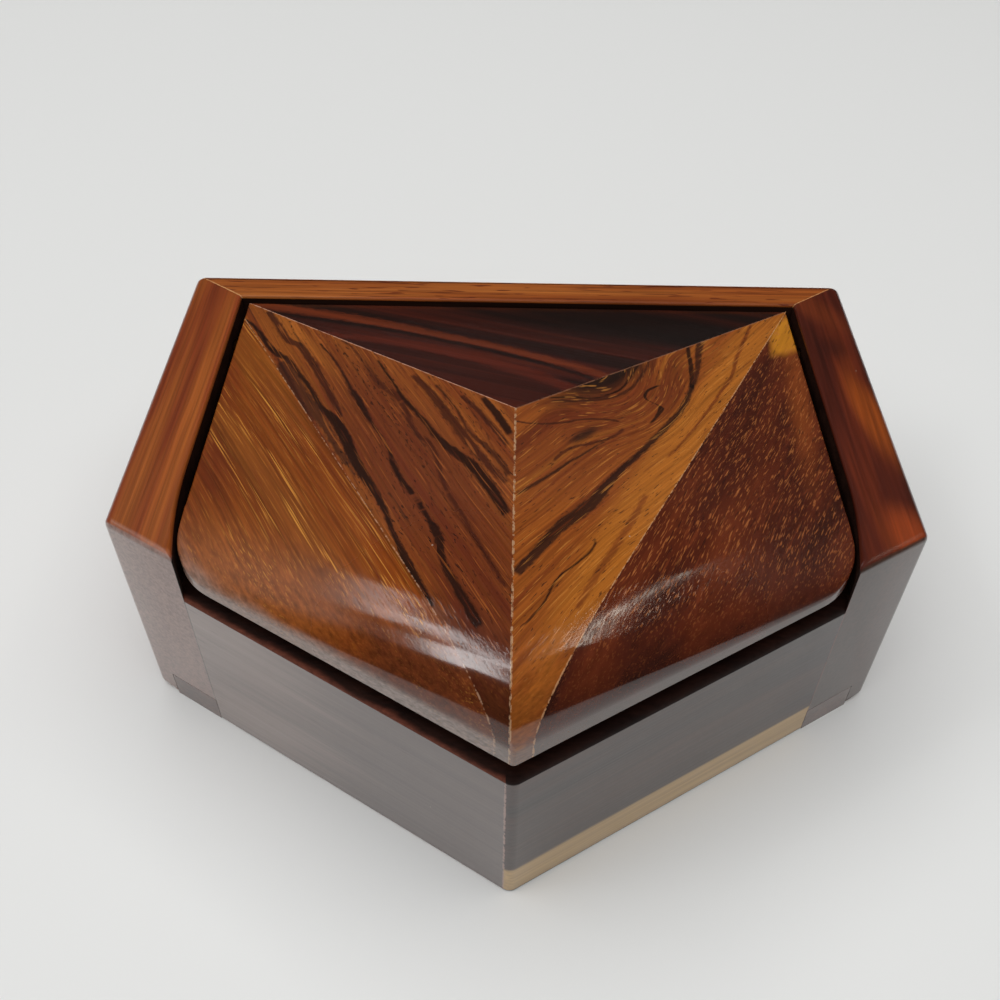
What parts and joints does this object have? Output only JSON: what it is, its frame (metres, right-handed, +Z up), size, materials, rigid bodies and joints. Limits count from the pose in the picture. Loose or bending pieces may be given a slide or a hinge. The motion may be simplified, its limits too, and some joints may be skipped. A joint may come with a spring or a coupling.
{
  "type": "trinket box",
  "caption": "Five-sided wooden trinket box: low pointed front, full-height side and back walls, and a faceted lid turning on hidden side pins.",
  "frame": {"origin": "on the table, under the middle of the box's bounding box", "axes": "+X to the right of someone facing the pointed front, +Y towards the back wall, +Z up; the front tip faces -Y"},
  "size_m": [0.114, 0.0949, 0.0452],
  "materials": {
    "back_wall_wood": "satin oiled rosewood, orange-brown",
    "left_side_wood": "satin oiled rosewood, red-brown",
    "right_side_wood": "satin oiled rosewood, dark red-brown",
    "left_front_wood": "satin oiled rosewood, dark brown",
    "right_front_wood": "satin oiled rosewood, dark brown with a pale sapwood edge",
    "bottom_wood": "plain oiled wood",
    "pin_brass": "turned brass rod",
    "lid_left_outer_wood": "polished rosewood, golden brown",
    "lid_left_inner_wood": "polished rosewood, orange with near-black stripes",
    "lid_right_inner_wood": "polished rosewood, golden orange with dark veins",
    "lid_right_outer_wood": "polished rosewood, dark red-brown with short gold flecks",
    "lid_back_wood": "polished rosewood, very dark purple-brown"
  },
  "bodies": {
    "case": {"back_wall": "back_wall_wood", "left_side_wall": "left_side_wood", "right_side_wall": "right_side_wood", "left_front_wall": "left_front_wood", "right_front_wall": "right_front_wood", "bottom_panel": "bottom_wood", "left_hinge_pin": "pin_brass", "right_hinge_pin": "pin_brass"},
    "lid": {"lid_left_outer_board": "lid_left_outer_wood", "lid_left_inner_board": "lid_left_inner_wood", "lid_right_inner_board": "lid_right_inner_wood", "lid_right_outer_board": "lid_right_outer_wood", "lid_back_board": "lid_back_wood"}
  },
  "joints": [
    {"name": "lid_hinge", "type": "hinge", "parent": "case", "child": "lid", "pos_m": [0, 0.03185, 0.0341], "axis": [-1, 0, 0], "range_deg": [0, 110]}
  ]
}
